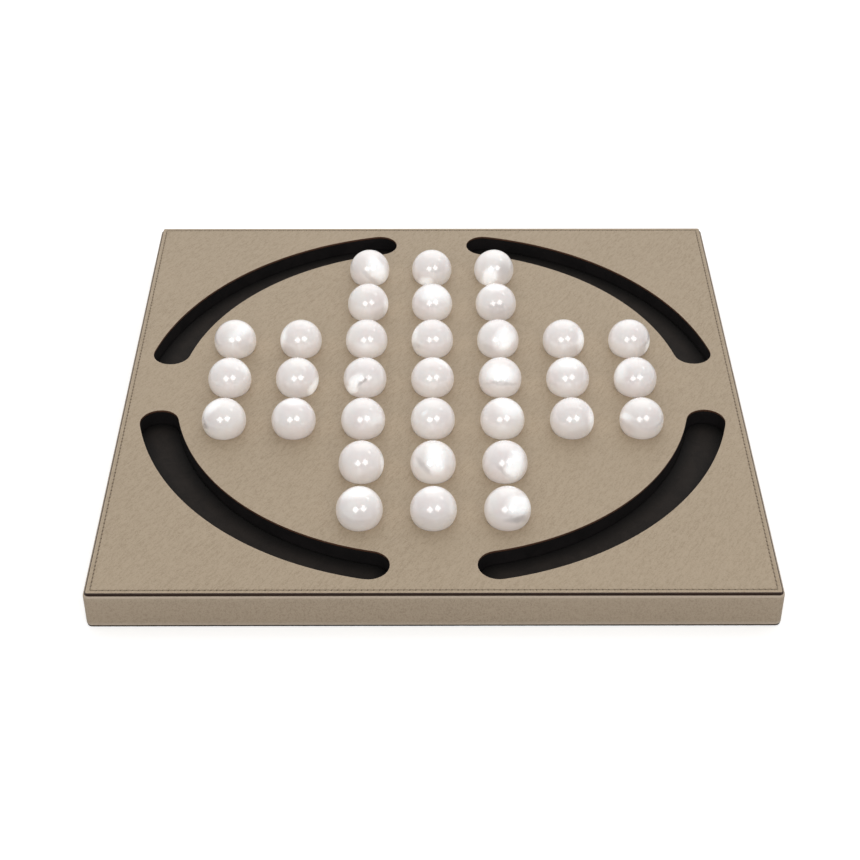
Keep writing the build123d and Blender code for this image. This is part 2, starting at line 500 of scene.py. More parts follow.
@dataclass(frozen=True)
class LeatherFinish:
    """Taupe pebbled leather, lighter where worn and where highlights are painted on rounded edges, darker
    where shade is painted in and at dark seams.
    """

    name: str
    colour: Colour
    shadow: Colour
    wear_and_highlight: Colour
    cells_per_metre: float = 820.0
    grain_depth: float = 0.0001
    roughness: float = 0.56
    shade_and_seam_colour: Colour = tint(60, 44, 33)

    def make(self, groups: Groups) -> bpy.types.Material:
        """Builds the material.

        Args:
            groups: The shared node groups.

        Returns:
            The leather.
        """
        material, graph, shader = new_material(self.name)
        place = graph.add("ShaderNodeTexCoord").outputs["Object"]
        grain = graph.group(groups.grain, Place=place, Cells_per_metre=self.cells_per_metre)
        wear_and_highlight_share = graph.add("ShaderNodeAttribute", attribute_name="wear_and_highlight").outputs["Fac"]
        painted_shade_and_seam = graph.add("ShaderNodeAttribute", attribute_name="painted_shade_and_seam").outputs["Fac"]
        body = graph.mix(graph.maths("MULTIPLY", grain.outputs["Valleys"], 0.45), self.colour, self.shadow)
        light = tuple(min(1.0, channel * 1.05) for channel in self.colour[:3]) + (1.0,)
        body = graph.mix(graph.spread(grain.outputs["Mottle"], 0.3, 0.75, 0.0, 0.25), body, light)
        speckle = graph.noise(place, self.cells_per_metre * 1.1, 1.0, 0.5)
        body = graph.mix(graph.spread(speckle, 0.5, 0.72, 0.0, 0.25), body, self.shadow)
        # Lightens worn places and paints highlights on rounded rims, the band's shoulder and its lower edge.
        body = graph.mix(graph.maths("MULTIPLY", wear_and_highlight_share, 0.55), body, self.wear_and_highlight)
        # Paints shade on the band's ledge under the panel and into the needle holes, and darkens the band's
        # butt joint as a dark seam.
        body = graph.mix(painted_shade_and_seam, body, self.shade_and_seam_colour)
        graph.join(shader.inputs["Base Color"], body)
        sheen = graph.spread(grain.outputs["Height"], 0.2, 0.8, self.roughness + 0.1, self.roughness - 0.06)
        smoothed = graph.maths("MULTIPLY", wear_and_highlight_share, 0.08)
        graph.join(shader.inputs["Roughness"], graph.maths("SUBTRACT", sheen, smoothed))
        shader.inputs["Specular IOR Level"].default_value = 0.35
        add_bump(graph, shader, grain.outputs["Height"], self.grain_depth)
        return material


@dataclass(frozen=True)
class PaintedEdgeFinish:
    """The cut edge of leather, burnished and painted dark brown."""

    name: str
    colour: Colour
    bare: Colour

    def make(self, groups: Groups) -> bpy.types.Material:
        """Builds the material.

        Args:
            groups: The shared node groups; not used.

        Returns:
            The painted edge.
        """
        material, graph, shader = new_material(self.name)
        place = graph.add("ShaderNodeTexCoord").outputs["Object"]
        layered = graph.vector("MULTIPLY", place, (1.0, 1.0, 5.0))
        fibres = graph.noise(layered, 900.0, 3.0, 0.65)
        patches = graph.noise(place, 110.0, 2.0, 0.5)
        thin = graph.maths("MULTIPLY", graph.spread(fibres, 0.48, 0.7), graph.spread(patches, 0.4, 0.7))
        shown = graph.maths("MULTIPLY", thin, 0.7)
        graph.join(shader.inputs["Base Color"], graph.mix(shown, self.colour, self.bare))
        graph.join(shader.inputs["Roughness"], graph.spread(fibres, 0.3, 0.7, 0.42, 0.62))
        add_bump(graph, shader, fibres, 0.00008)
        return material


@dataclass(frozen=True)
class NapFinish:
    """Suede or matt lining with a short nap."""

    name: str
    colour: Colour
    brushed: Colour
    fibres_per_metre: float = 3000.0
    depth: float = 0.00006
    roughness: float = 0.85
    specular: float = 0.25
    shade_and_seam_colour: Colour = tint(13, 11, 10)

    def make(self, groups: Groups) -> bpy.types.Material:
        """Builds the material.

        Args:
            groups: The shared node groups.

        Returns:
            The napped material.
        """
        material, graph, shader = new_material(self.name)
        place = graph.add("ShaderNodeTexCoord").outputs["Object"]
        nap = graph.group(groups.nap, Place=place, Fibres_per_metre=self.fibres_per_metre)
        colour = graph.mix(nap.outputs["Brushed"], self.colour, self.brushed)
        speckled = graph.spread(nap.outputs["Height"], 0.3, 0.75, 0.0, 0.5)
        # Paints shade on the tray floors, darker towards the walls.
        painted_shade_and_seam = graph.add("ShaderNodeAttribute", attribute_name="painted_shade_and_seam").outputs["Fac"]
        colour = graph.mix(painted_shade_and_seam, graph.mix(speckled, colour, self.brushed), self.shade_and_seam_colour)
        graph.join(shader.inputs["Base Color"], colour)
        matt = graph.spread(nap.outputs["Height"], 0.3, 0.7, self.roughness, self.roughness - 0.12)
        graph.join(shader.inputs["Roughness"], matt)
        shader.inputs["Specular IOR Level"].default_value = self.specular
        add_bump(graph, shader, nap.outputs["Height"], self.depth)
        return material


@dataclass(frozen=True)
class ThreadFinish:
    """Waxed twisted thread."""

    name: str
    colour: Colour
    shadow: Colour

    def make(self, groups: Groups) -> bpy.types.Material:
        """Builds the material.

        Args:
            groups: The shared node groups; not used.

        Returns:
            The thread.
        """
        material, graph, shader = new_material(self.name)
        place = graph.add("ShaderNodeTexCoord").outputs["Object"]
        x, y, z = graph.split(place)
        lean = graph.maths("ADD", graph.maths("ADD", x, y), graph.maths("MULTIPLY", z, 2.0))
        wave = graph.maths("SINE", graph.maths("MULTIPLY", lean, 9000.0))
        plies = graph.maths("ADD", graph.maths("MULTIPLY", wave, 0.5), 0.5)
        fuzz = graph.noise(place, 5000.0, 2.0, 0.6)
        twist = graph.maths("ADD", graph.maths("MULTIPLY", plies, 0.8), graph.maths("MULTIPLY", fuzz, 0.2))
        graph.join(shader.inputs["Base Color"], graph.mix(twist, self.shadow, self.colour))
        graph.join(shader.inputs["Roughness"], graph.spread(fuzz, 0.3, 0.7, 0.5, 0.7))
        add_bump(graph, shader, twist, 0.00005)
        return material


@dataclass(frozen=True)
class FibreboardFinish:
    """Pressed fibreboard, stained black inside the dished wells."""

    name: str
    colour: Colour
    fleck: Colour
    stain: Colour

    def make(self, groups: Groups) -> bpy.types.Material:
        """Builds the material.

        Args:
            groups: The shared node groups.

        Returns:
            The fibreboard.
        """
        material, graph, shader = new_material(self.name)
        place = graph.add("ShaderNodeTexCoord").outputs["Object"]
        nap = graph.group(groups.nap, Place=place, Fibres_per_metre=1400.0)
        board = graph.mix(graph.spread(nap.outputs["Height"], 0.35, 0.7), self.colour, self.fleck)
        upright = graph.split(graph.add("ShaderNodeNewGeometry").outputs["Normal"])[2]
        level = graph.spread(graph.maths("ABSOLUTE", upright), 0.985, 0.999)
        stained = graph.mix(graph.spread(nap.outputs["Height"], 0.5, 0.8, 0.0, 0.3), self.stain, self.fleck)
        graph.join(shader.inputs["Base Color"], graph.mix(level, stained, board))
        graph.join(shader.inputs["Roughness"], graph.spread(nap.outputs["Height"], 0.3, 0.7, 0.75, 0.6))
        add_bump(graph, shader, nap.outputs["Height"], 0.00005)
        return material


@dataclass(frozen=True)
class Oval:
    """A soft oval on a marble, seen from the player's seat: in marble radii, with a tilt in degrees."""

    right: float
    up: float
    half_length: float
    half_width: float
    tilt: float = 0.0
    strength: float = 1.0
    softness: float = 0.5


@dataclass(frozen=True)
class PearlFinish:
    """A pearly stone with silky bands, one painted gleam and, on some, painted grey shade beside it; the body
    glows with painted light, brighter at the rim.
    """

    name: str
    seed: float
    painted_gleam: Oval
    shade_oval: Oval
    fibre_tilt: float
    warmth: float
    radius: float
    # Painted glow over the whole body.
    painted_body_glow: Colour = (0.34, 0.325, 0.315, 1.0)
    painted_glow_strength: float = 0.36
    polish_roughness: float = 0.008
    polish_ior: float = 2.0

    def make(self, groups: Groups) -> bpy.types.Material:
        """Builds the material.

        Args:
            groups: The shared node groups.

        Returns:
            The pearl.
        """
        material, graph, shader = new_material(self.name)
        place = graph.vector("SCALE", graph.add("ShaderNodeTexCoord").outputs["Object"], 1 / self.radius)
        silk = graph.group(groups.silk, Place=place, Seed=self.seed, Fibre_tilt=math.radians(self.fibre_tilt))
        wandering = silk.outputs["Wandering"]
        facing = graph.spread(graph.split(place)[2], -0.05, 0.25)
        milky, lilac, warm = tint(243, 239, 237), tint(234, 226, 225), tint(241, 233, 228)
        body = graph.mix(graph.spread(silk.outputs["Clouds"], 0.3, 0.7), lilac, milky)
        body = graph.mix(self.warmth, body, graph.mix(0.5, body, warm))
        bright = graph.spread(silk.outputs["Fibres"], 0.45, 0.75, 0.0, 0.22)
        body = graph.mix(bright, body, tint(246, 243, 241))
        # Paints a bright rim light near the outline, in the colour and in the glow.
        edge_on = graph.add("ShaderNodeLayerWeight")
        edge_on.inputs["Blend"].default_value = 0.5
        painted_rim_light = graph.spread(edge_on.outputs["Facing"], 0.7, 0.95, 0.0, 0.8)
        body = graph.mix(painted_rim_light, body, tint(255, 250, 247))
        # Paints the gleam: a bright highlight in the colour and in the glow.
        painted_gleam = self.oval_mask(graph, groups, self.painted_gleam, wandering, facing)
        painted_gleam = graph.maths("MULTIPLY", painted_gleam, graph.spread(silk.outputs["Fibres"], 0.3, 0.55, 0.74, 1.0))
        # Paints a grey shade beside the gleam.
        shade_oval = self.oval_mask(graph, groups, self.shade_oval, wandering, facing)
        # Paints gleams on the far side where the clouds are brightest.
        behind = graph.maths("SUBTRACT", 1.0, facing)
        far_painted_gleam = graph.maths("MULTIPLY", graph.spread(silk.outputs["Clouds"], 0.56, 0.66), behind)
        body = graph.mix(graph.maths("MAXIMUM", painted_gleam, far_painted_gleam), body, WHITE)
        body = graph.mix(shade_oval, body, tint(160, 153, 150))
        graph.join(shader.inputs["Base Color"], body)
        graph.join(shader.inputs["Roughness"], graph.spread(silk.outputs["Fibres"], 0.3, 0.7, 0.34, 0.24))
        # Paints a glow over the whole body, brighter in the gleam and at the rim.
        glow = graph.maths("MAXIMUM", painted_gleam, graph.maths("MULTIPLY", painted_rim_light, 0.7))
        graph.join(shader.inputs["Emission Color"], graph.mix(glow, self.painted_body_glow, WHITE))
        shader.inputs["Emission Strength"].default_value = self.painted_glow_strength
        shader.inputs["Specular IOR Level"].default_value = 0.2
        shader.inputs["Coat Weight"].default_value = 1.0
        shader.inputs["Coat Roughness"].default_value = self.polish_roughness
        shader.inputs["Coat IOR"].default_value = self.polish_ior
        shader.inputs["Subsurface Weight"].default_value = 0.35
        shader.inputs["Subsurface Radius"].default_value = (0.006, 0.005, 0.0045)
        shader.inputs["Subsurface Scale"].default_value = 1.0
        add_bump(graph, shader, silk.outputs["Fibres"], 0.00003, 0.2)
        return material

    def oval_mask(
        self, graph: Graph, groups: Groups, oval: Oval, place: object, facing: object
    ) -> bpy.types.NodeSocket:
        """Places one oval on the side that faces the player.

        Args:
            graph: The material's graph.
            groups: The shared node groups.
            oval: The oval.
            place: The coordinates, in marble radii.
            facing: The mask of the side that faces the player.

        Returns:
            The oval's mask.
        """
        node = graph.group(
            groups.oval,
            Place=place,
            Middle=(oval.right, oval.up, 0.0),
            Half_length=oval.half_length,
            Half_width=oval.half_width,
            Tilt=math.radians(oval.tilt),
            Softness=oval.softness,
        )
        return graph.maths("MULTIPLY", graph.maths("MULTIPLY", node.outputs["Mask"], facing), oval.strength)


# ---- Mesh building ----


class Shading(Enum):
    """How a face takes light: on its own, or blended with its neighbours."""

    FLAT = False
    SMOOTH = True


class MeshSketch:
    """Collects the rings, strips and fills of one mesh."""

    def __init__(self) -> None:
        """Starts an empty mesh."""
        self.mesh = bmesh.new()
        # This layer marks wear and also painted highlights on rounded edges.
        self.wear_and_highlight = self.mesh.verts.layers.float.new("wear_and_highlight")
        # This layer marks where shade is painted in: a shadow line, needle holes and tray floors near the
        # walls; it also darkens the band's butt joint as a dark seam.
        self.painted_shade_and_seam = self.mesh.verts.layers.float.new("painted_shade_and_seam")

    def ring(self, points: list[Point], wear_and_highlight: float = 0.0) -> list[bmesh.types.BMVert]:
        """Adds a row of vertices.

        Args:
            points: The vertices' places.
            wear_and_highlight: How worn the surface is there and how much painted highlight it takes, from 0
                to 1.

        Returns:
            The new vertices.
        """
        row = [self.mesh.verts.new(point) for point in points]
        for vertex in row:
            vertex[self.wear_and_highlight] = wear_and_highlight
        return row

    def strip(
        self,
        first: list,
        second: list,
        slot: int = 0,
        shading: Shading = Shading.SMOOTH,
        closed: bool = True,
    ) -> None:
        """Joins two rows of equal length with four-sided faces.

        Args:
            first: One row of vertices.
            second: The other row.
            slot: The faces' material slot.
            shading: How the faces take light.
            closed: Whether the rows' ends meet.
        """
        count = len(first)
        for i in range(count if closed else count - 1):
            j = (i + 1) % count
            face = self.mesh.faces.new((first[i], first[j], second[j], second[i]))
            face.material_index = slot
            face.smooth = shading.value

    def fill(self, rings: list[list], slot: int = 0) -> None:
        """Fills the flat region between closed rings with triangles.

        Args:
            rings: The rings, the outer one and any holes.
            slot: The faces' material slot.
        """
        edges = []
        for row in rings:
            for i, vertex in enumerate(row):
                pair = (vertex, row[(i + 1) % len(row)])
                edges.append(self.mesh.edges.get(pair) or self.mesh.edges.new(pair))
        made = bmesh.ops.triangle_fill(self.mesh, use_beauty=True, use_dissolve=False, edges=edges)
        for face in made["geom"]:
            if isinstance(face, bmesh.types.BMFace):
                face.material_index = slot
                face.smooth = Shading.FLAT.value

    def finish(self, name: str, materials: list[bpy.types.Material]) -> bpy.types.Object:
        """Turns the sketch into an object.

        Args:
            name: The object's name.
            materials: Its materials by slot.

        Returns:
            The new object, in the scene.
        """
        bmesh.ops.recalc_face_normals(self.mesh, faces=self.mesh.faces)
        data = bpy.data.meshes.new(name)
        self.mesh.to_mesh(data)
        self.mesh.free()
        for material in materials:
            data.materials.append(material)
        piece = bpy.data.objects.new(name, data)
        bpy.context.scene.collection.objects.link(piece)
        return piece


@dataclass(frozen=True)
class SquarePath:
    """A rounded square walked anticlockwise from the middle of its back, sampled alike at every inset."""

    side: float
    corner_radius: float
    samples_per_side: int
    samples_per_corner: int = 8
    smallest_radius: float = 0.25 * MM

    def ring(self, inset: float, height: float) -> list[Point]:
        """Lays out one ring.

        Args:
            inset: How far inside the outline it runs.
            height: Its height.

        Returns:
            The ring's points.
        """
        radius = max(self.corner_radius - inset, self.smallest_radius)
        straight = self.side / 2 - inset - radius
        points = []
        for quarter in range(4):
            turn = Matrix.Rotation(math.radians(90 * quarter), 3, "Z")
            for step in range(self.samples_per_side):
                along = straight * (1 - 2 * step / self.samples_per_side)
                points.append(turn @ Vector((along, straight + radius, height)))
            for step in range(self.samples_per_corner):
                angle = math.radians(90 + 90 * step / self.samples_per_corner)
                across = -straight + radius * math.cos(angle)
                corner = Vector((across, straight + radius * math.sin(angle), height))
                points.append(turn @ corner)
        half = self.samples_per_side // 2
        return [tuple(point) for point in points[half:] + points[:half]]


@dataclass(frozen=True)
class TrayPath:
    """The bent slot with round ends that one tray follows, sampled alike at every width."""

    radius: float
    end_angle: float
    quarter_angle: float
    arc_samples: int = 56
    end_samples: int = 14

    def ring(self, half_width: float, height: float) -> list[Point]:
        """Lays out one ring.

        Args:
            half_width: Half the slot's width there.
            height: Its height.

        Returns:
            The ring's points.
        """
        first = math.radians(self.quarter_angle) + self.end_angle
        last = math.radians(self.quarter_angle + 90) - self.end_angle
        points = []
        for step in range(self.arc_samples):
            angle = first + (last - first) * step / self.arc_samples
            points.append(self.polar(self.radius + half_width, angle, height))
        points += self.cap(last, 0.0, half_width, height)
        for step in range(self.arc_samples):
            angle = last + (first - last) * step / self.arc_samples
            points.append(self.polar(self.radius - half_width, angle, height))
        points += self.cap(first, math.pi, half_width, height)
        return points

    def polar(self, radius: float, angle: float, height: float) -> Point:
        """A point at a radius and angle about the board's centre."""
        return (radius * math.cos(angle), radius * math.sin(angle), height)

    def cap(self, angle: float, start: float, half_width: float, height: float) -> list[Point]:
        """Lays out the half circle round one end of the slot.

        Args:
            angle: Where the end lies about the board's centre.
            start: Where the half circle starts, from the outward direction.
            half_width: Half the slot's width.
            height: The points' height.

        Returns:
            The half circle's points.
        """
        middle = self.polar(self.radius, angle, height)
        points = []
        for step in range(self.end_samples):
            turn = angle + start + math.pi * step / self.end_samples
            across = middle[0] + half_width * math.cos(turn)
            points.append((across, middle[1] + half_width * math.sin(turn), height))
        return points


def quarter_turn(steps: int, first: int = 0) -> list[float]:
    """Evenly spaced angles of a quarter turn, in radians."""
    return [math.pi / 2 * step / steps for step in range(first, steps + 1)]


def circle(middle: Point, radius: float, height: float, samples: int = 72) -> list[Point]:
    """The points of a level circle."""
    turns = [2 * math.pi * i / samples for i in range(samples)]
    return [(middle[0] + radius * math.cos(t), middle[1] + radius * math.sin(t), height) for t in turns]


def wander(point: Point, size: float, seed: float) -> float:
    """A smooth random value from about -1 to 1 that changes over a size in metres."""
    return noise.noise(Vector(point) / size + Vector((seed, seed * 1.7, seed * 0.3)))


def wells() -> dict[str, tuple[int, int]]:
    """Names the wells.

    Returns:
        Each well's name, such as d4 for the centre, with its column and row counted from the centre.
    """
    reach = range(-3, 4)
    return {
        f"{'abcdefg'[column + 3]}{row + 4}": (column, row)
        for column in reach
        for row in reach
        if min(abs(column), abs(row)) <= 1
    }


def centre_of(node: str) -> Vector:
    """The middle of a CAD node's box at rest."""
    low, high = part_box(node)
    return (Vector(low) + Vector(high)) / 2


# ---- Sub-assemblies ----


@dataclass
class Trays:
    """The four lined trays: a black strip round each wall and a charcoal sheet on each floor."""

    wood_width: float = 24.4988 * MM
    wall_thickness: float = 0.8 * MM
    opening_width: float = 22.4988 * MM
    floor_gap: float = 0.15 * MM
    rim_rounding: float = 0.25 * MM
    floor_rounding: float = 0.35 * MM
    wall_unevenness: float = 0.04 * MM
    floor_unevenness: float = 0.05 * MM

    def path(self, quarter: str) -> TrayPath:
        """Reads a tray's centre line off its CAD lining.

        Args:
            quarter: The tray's name.

        Returns:
            The tray's path.
        """
        low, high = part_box("wall_lining_back_right")
        across = high[0] - self.wood_width / 2
        beside = low[1] + self.wood_width / 2
        return TrayPath(math.hypot(across, beside), math.atan2(beside, across), QUARTERS[quarter])

    def make_wall(self, quarter: str, material: bpy.types.Material) -> bpy.types.Object:
        """Builds the lining strip round one tray's wall.

        Args:
            quarter: The tray's name.
            material: The lining.

        Returns:
            The strip.
        """
        node = f"wall_lining_{quarter}"
        low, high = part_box(node)
        path, sketch = self.path(quarter), MeshSketch()
        outer = self.wood_width / 2
        inner = outer - self.wall_thickness
        round_by, bottom, top = self.rim_rounding, low[2], high[2]
        profile = [(outer, bottom), (outer, top)]
        for angle in quarter_turn(3):
            profile.append((inner + round_by * (1 - math.sin(angle)), top - round_by * (1 - math.cos(angle))))
        profile += [(inner, bottom + (top - bottom) * share) for share in (0.8, 0.6, 0.4, 0.2, 0.0)]
        rows = []
        for half_width, height in profile:
            points = path.ring(half_width, height)
            if bottom < height < top - round_by:
                points = [self.eased(point, path) for point in points]
            rows.append(sketch.ring(points))
        for first, second in zip(rows, rows[1:] + rows[:1]):
            sketch.strip(first, second)
        return self.dress(sketch.finish(f"tray_wall_{quarter}", [material]), node)

    def eased(self, point: Point, path: TrayPath) -> Point:
        """Lets the glued strip wander a hair's breadth into the wood.

        Args:
            point: A point on the strip's face.
            path: The tray's path.

        Returns:
            The moved point.
        """
        out = Vector((point[0], point[1], 0)).normalized()
        away = 1 if math.hypot(point[0], point[1]) > path.radius else -1
        depth = self.wall_unevenness * (1 + wander(point, 9 * MM, 3.0)) / 2
        return tuple(Vector(point) + out * away * depth)

    def make_floor(self, quarter: str, material: bpy.types.Material) -> bpy.types.Object:
        """Builds the sheet on one tray's floor, softly rounded at its edge, faintly uneven, with painted
        shade darker towards the walls.

        Args:
            quarter: The tray's name.
            material: The lining.

        Returns:
            The sheet.
        """
        node = f"floor_lining_{quarter}"
        low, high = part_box(node)
        path, sketch = self.path(quarter), MeshSketch()
        half = self.wood_width / 2 - self.wall_thickness - self.floor_gap
        round_by, bottom, top = self.floor_rounding, low[2], high[2]
        profile = [(half, bottom), (half, top - round_by)]
        for angle in quarter_turn(4, 1):
            profile.append((half - round_by * (1 - math.cos(angle)), top - round_by * (1 - math.sin(angle))))
        profile += [(half * share, top) for share in (0.86, 0.7, 0.54, 0.38, 0.22, 0.08)]
        rows = []
        for half_width, height in profile:
            points = path.ring(half_width, height)
            if half_width < half - 2 * round_by:
                points = [
                    (x, y, z + self.floor_unevenness * (wander((x, y, z), 22 * MM, 7.0) - 1))
                    for x, y, z in points
                ]
            row = sketch.ring(points)
            # Paints shade on the floor, darker towards the walls.
            for vertex in row:
                vertex[sketch.painted_shade_and_seam] = max(0.0, (half_width / half - 0.25) / 0.75)
            rows.append(row)
        for first, second in zip(rows, rows[1:]):
            sketch.strip(first, second)
        sketch.fill([rows[-1]])
        sketch.fill([rows[0]])
        return self.dress(sketch.finish(f"tray_floor_{quarter}", [material]), node)

    def dress(self, piece: bpy.types.Object, node: str) -> bpy.types.Object:
        """Lets a piece stand for its CAD node on the board.

        Args:
            piece: The piece.
            node: The CAD node's name.

        Returns:
            The same piece.
        """
        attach(piece, BOARD_BODY)
        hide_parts(node)
        return piece

    def build(self, wall: bpy.types.Material, floor: bpy.types.Material) -> None:
        """Builds all four trays.

        Args:
            wall: The walls' lining.
            floor: The floors' lining.
        """
        for quarter in QUARTERS:
            self.make_wall(quarter, wall)
            self.make_floor(quarter, floor)
            LOG.info("tray %s lined", quarter)


@dataclass
class TopPanel:
    """The leather playing face: rounded rim, sunk stitch line with needle holes, wells and tray slots."""

    corner_radius: float = 1.2 * MM
    edge_rounding: float = 0.3 * MM
    hole_rounding: float = 0.12 * MM
    well_radius: float = 11.36 * MM
    stitch_inset: float = 2.4 * MM
    groove_half_width: float = 0.55 * MM
    groove_depth: float = 0.06 * MM
    stitches_per_side: int = 114
    samples_per_stitch: int = 8
    thread_radius: float = 0.24 * MM
    thread_rise: float = 0.16 * MM
    needle_depth: float = 0.55 * MM
    inner_inset: float = 4.4 * MM

    def outline(self) -> SquarePath:
        """Lays out the panel's outline, sampled a whole number of times for each stitch.

        Returns:
            The outline.
        """
        low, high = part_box("top_leather")
        samples = self.stitches_per_side * self.samples_per_stitch
        return SquarePath(high[0] - low[0], self.corner_radius, samples)

    def rim_profile(self, bottom: float, top: float) -> list[tuple[float, float, float]]:
        """Draws the rim's cross section from the underside round to the flat face.

        Args:
            bottom: The leather's underside.
            top: The leather's face.

        Returns:
            The section's points as inset, height, and a share of wear and painted highlight.
        """
        round_by = self.edge_rounding
        # The rim's rounding takes wear and a painted highlight.
        profile = [(0.05 * MM, bottom, 0.0), (0.0, bottom + 0.1 * MM, 0.0), (0.0, top - round_by, 0.3)]
        for step in range(1, 5):
            angle = math.pi / 2 * step / 4
            inset, drop = round_by * (1 - math.cos(angle)), round_by * (1 - math.sin(angle))
            profile.append((inset, top - drop, 0.9 - 0.15 * step))
        profile.append((1.3 * MM, top, 0.0))
        for share in (-1.0, -0.65, -0.3, 0.0, 0.3, 0.65, 1.0):
            sunk = self.groove_depth * (math.cos(math.pi * share) + 1) / 2
            profile.append((self.stitch_inset + share * self.groove_half_width, top - sunk, 0.0))
        profile.append((self.inner_inset, top, 0.0))
        return profile

    def build_face(
        self, leather: bpy.types.Material, edge: bpy.types.Material, opening_edge: bpy.types.Material
    ) -> bpy.types.Object:
        """Builds the panel.

        Args:
            leather: The grain side.
            edge: The painted outer edge.
            opening_edge: The cut edge inside the openings.

        Returns:
            The panel.
        """
        low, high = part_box("top_leather")
        bottom, top = low[2], high[2]
        outline, sketch = self.outline(), MeshSketch()
        profile = self.rim_profile(bottom, top)
        rows = []
        for inset, height, wear_and_highlight_level in profile:
            row = sketch.ring(outline.ring(inset, height), wear_and_highlight_level)
            offset = abs(inset - self.stitch_inset)
            if offset < self.groove_half_width * 0.9:
                self.pierce(sketch, row, offset / self.groove_half_width)
            rows.append(row)
        for index, (first, second) in enumerate(zip(rows, rows[1:])):
            sketch.strip(first, second, slot=1 if index < 5 else 0)
        top_rings, bottom_rings = [rows[-1]], [rows[0]]
        for path in self.openings():
            over, under = self.line_opening(sketch, path, bottom, top)
            top_rings.append(over)
            bottom_rings.append(under)
        sketch.fill(top_rings)
        sketch.fill(bottom_rings, slot=2)
        panel = sketch.finish("playing_face", [leather, edge, opening_edge])
        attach(panel, BOARD_BODY)
        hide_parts("top_leather")
        return panel

    def pierce(self, sketch: MeshSketch, row: list, away: float) -> None:
        """Pushes the needle holes into one row of the stitch line and paints shade into them.

        Args:
            sketch: The panel's mesh.
            row: A row of the stitch line.
            away: The row's share of the half width, from 0 at the thread.
        """
        per_side = self.stitches_per_side * self.samples_per_stitch
        half = per_side // 2
        sides = SquarePath.samples_per_corner + per_side
        for index, vertex in enumerate(row):
            step = (index + half) % sides
            if step > per_side:
                continue
            phase = step % self.samples_per_stitch
            near = min(phase, self.samples_per_stitch - phase)
            depth = max(0.0, 1 - near / 1.9) * max(0.0, 1 - away / 0.9)
            vertex.co.z -= self.needle_depth * depth
            # Paints shade into the needle holes.
            vertex[sketch.painted_shade_and_seam] = min(1.0, depth * 2.0)

    def openings(self) -> list:
        """Gathers the wells and slots.

        Returns:
            Functions that give an opening's ring by how far it stands out and its height.
        """
        trays = Trays()
        shapes = []
        for place in wells():
            middle = tuple(centre_of(f"marble_{place}"))
            shapes.append(
                lambda out, height, middle=middle: circle(middle, self.well_radius + out, height)
            )
        for quarter in QUARTERS:
            path = trays.path(quarter)
            shapes.append(lambda out, height, path=path: path.ring(trays.opening_width / 2 + out, height))
        return shapes

    def line_opening(
        self, sketch: MeshSketch, ring_at: object, bottom: float, top: float
    ) -> tuple[list, list]:
        """Builds the rounded rim and cut wall of one opening.

        Args:
            sketch: The panel's mesh.
            ring_at: Gives the opening's ring by how far it stands out and its height.
            bottom: The leather's underside.
            top: The leather's face.

        Returns:
            The ring on the face and the ring on the underside.
        """
        round_by = self.hole_rounding
        rows = [sketch.ring(ring_at(round_by + 0.4 * MM, top), 0.0)]
        # The opening's rounded rim takes wear and a painted highlight.
        for step in range(5):
            angle = math.pi / 2 * step / 4
            out, drop = round_by * (1 - math.sin(angle)), round_by * (1 - math.cos(angle))
            rows.append(sketch.ring(ring_at(out, top - drop), 0.25 + 0.12 * step))
        rows.append(sketch.ring(ring_at(0.0, bottom + 0.35 * MM)))
        rows.append(sketch.ring(ring_at(0.0, bottom)))
        for index, (first, second) in enumerate(zip(rows, rows[1:])):
            sketch.strip(first, second, slot=2 if index >= 5 else 0)
        return rows[0], rows[-1]

    def build_stitches(self, thread: bpy.types.Material) -> bpy.types.Object:
        """Sews the stitches, each arching from one needle hole to the next.

        Args:
            thread: The thread's material.

        Returns:
            All the stitches as one piece.
        """
        low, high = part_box("top_leather")
        side, top = high[0] - low[0], high[2]
        radius = max(self.corner_radius - self.stitch_inset, 0.25 * MM)
        straight = side / 2 - self.stitch_inset - radius
        pitch = 2 * straight / self.stitches_per_side
        sketch = MeshSketch()
        for quarter in range(4):
            turn = Matrix.Rotation(math.radians(90 * quarter), 3, "Z")
            for index in range(self.stitches_per_side):
                start = Vector((straight - index * pitch, straight + radius, top))
                self.sew(sketch, turn, start, pitch)
        piece = sketch.finish("rim_stitches", [thread])
        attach(piece, BOARD_BODY)
        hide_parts("edge_stitching")
        return piece

    def sew(self, sketch: MeshSketch, turn: Matrix, start: Vector, pitch: float) -> None:
        """Adds one stitch that starts in a needle hole and runs along its side.

        Args:
            sketch: The stitches' mesh.
            turn: The side's turn about the board.
            start: The needle hole's mouth before the turn.
            pitch: The distance to the next hole.
        """
        rows, rounds, sides = [], 9, 8
        for step in range(rounds + 1):
            share = step / rounds
            along = 0.12 + 0.76 * share
            arch = math.sin(math.pi * share) ** 0.5 if 0 < share < 1 else 0.0
            height = -self.groove_depth - 0.24 * MM + (0.2 * MM + self.thread_rise) * arch
            slant = 0.07 * MM * (2 * share - 1)
            thick = self.thread_radius * (0.62 + 0.38 * arch)
            middle = start + Vector((-pitch * along, slant, height))
            points = []
            for side in range(sides):
                angle = 2 * math.pi * side / sides
                away = Vector((0, thick * math.cos(angle), thick * math.sin(angle)))
                points.append(tuple(turn @ (middle + away)))
            rows.append(sketch.ring(points))
        for first, second in zip(rows, rows[1:]):
            sketch.strip(first, second)
        for row in (rows[0], rows[-1]):
            face = sketch.mesh.faces.new(row)
            face.smooth = True


